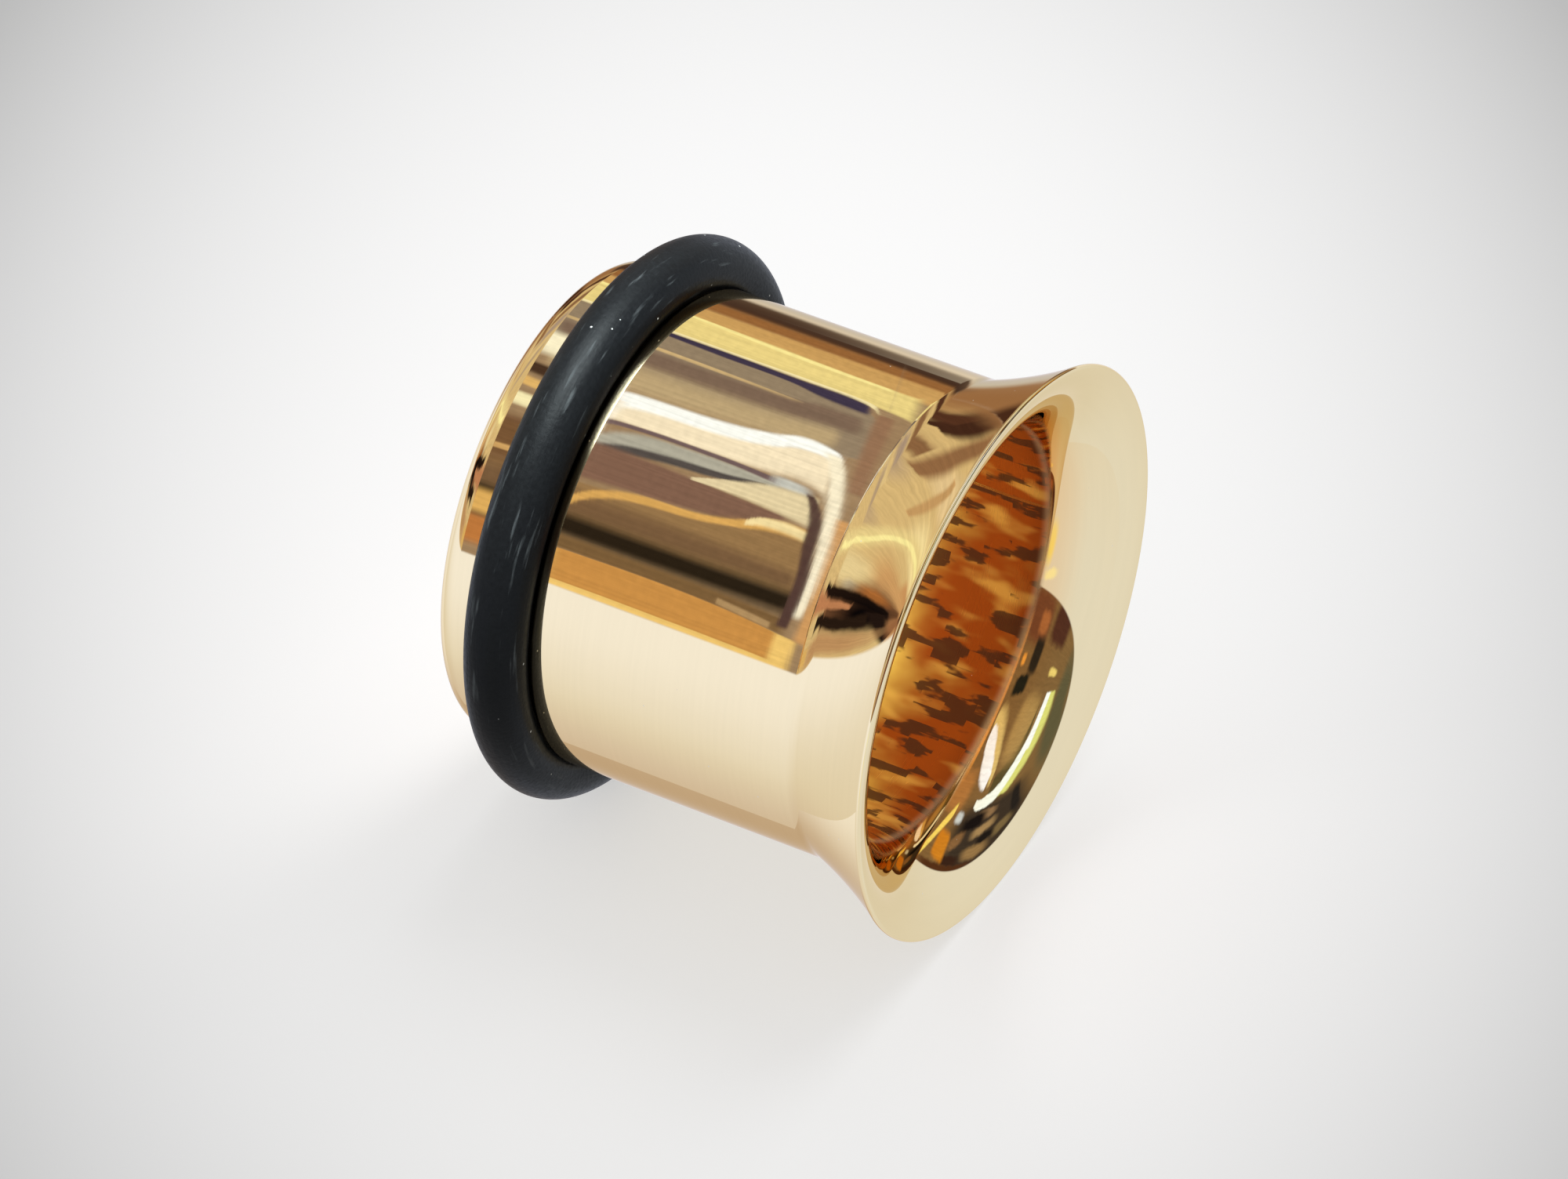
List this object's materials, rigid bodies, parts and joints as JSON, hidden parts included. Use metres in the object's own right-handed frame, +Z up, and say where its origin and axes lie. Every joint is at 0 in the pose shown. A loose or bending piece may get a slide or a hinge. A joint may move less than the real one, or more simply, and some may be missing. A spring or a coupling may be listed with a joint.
{
  "type": "ear tunnel",
  "caption": "Single-flare ear tunnel: a polished gold-coloured metal tube with a trumpet flare, held by a black rubber O-ring in a groove near its plain end.",
  "frame": {"origin": "middle of the tunnel's footprint on the plane that it lies on, under its side", "axes": "+X along the tunnel towards the flare (level, while the tunnel's own axis rises by three quarters of a degree), +Z up"},
  "size_m": [0.013, 0.0152, 0.0152],
  "materials": {
    "polished_gold": "mirror polished gold-coloured metal with faint turning lines",
    "black_rubber": "matt black rubber with a soft sheen"
  },
  "bodies": {
    "root": {"tunnel_body": "polished_gold", "o_ring": "black_rubber"}
  },
  "joints": []
}
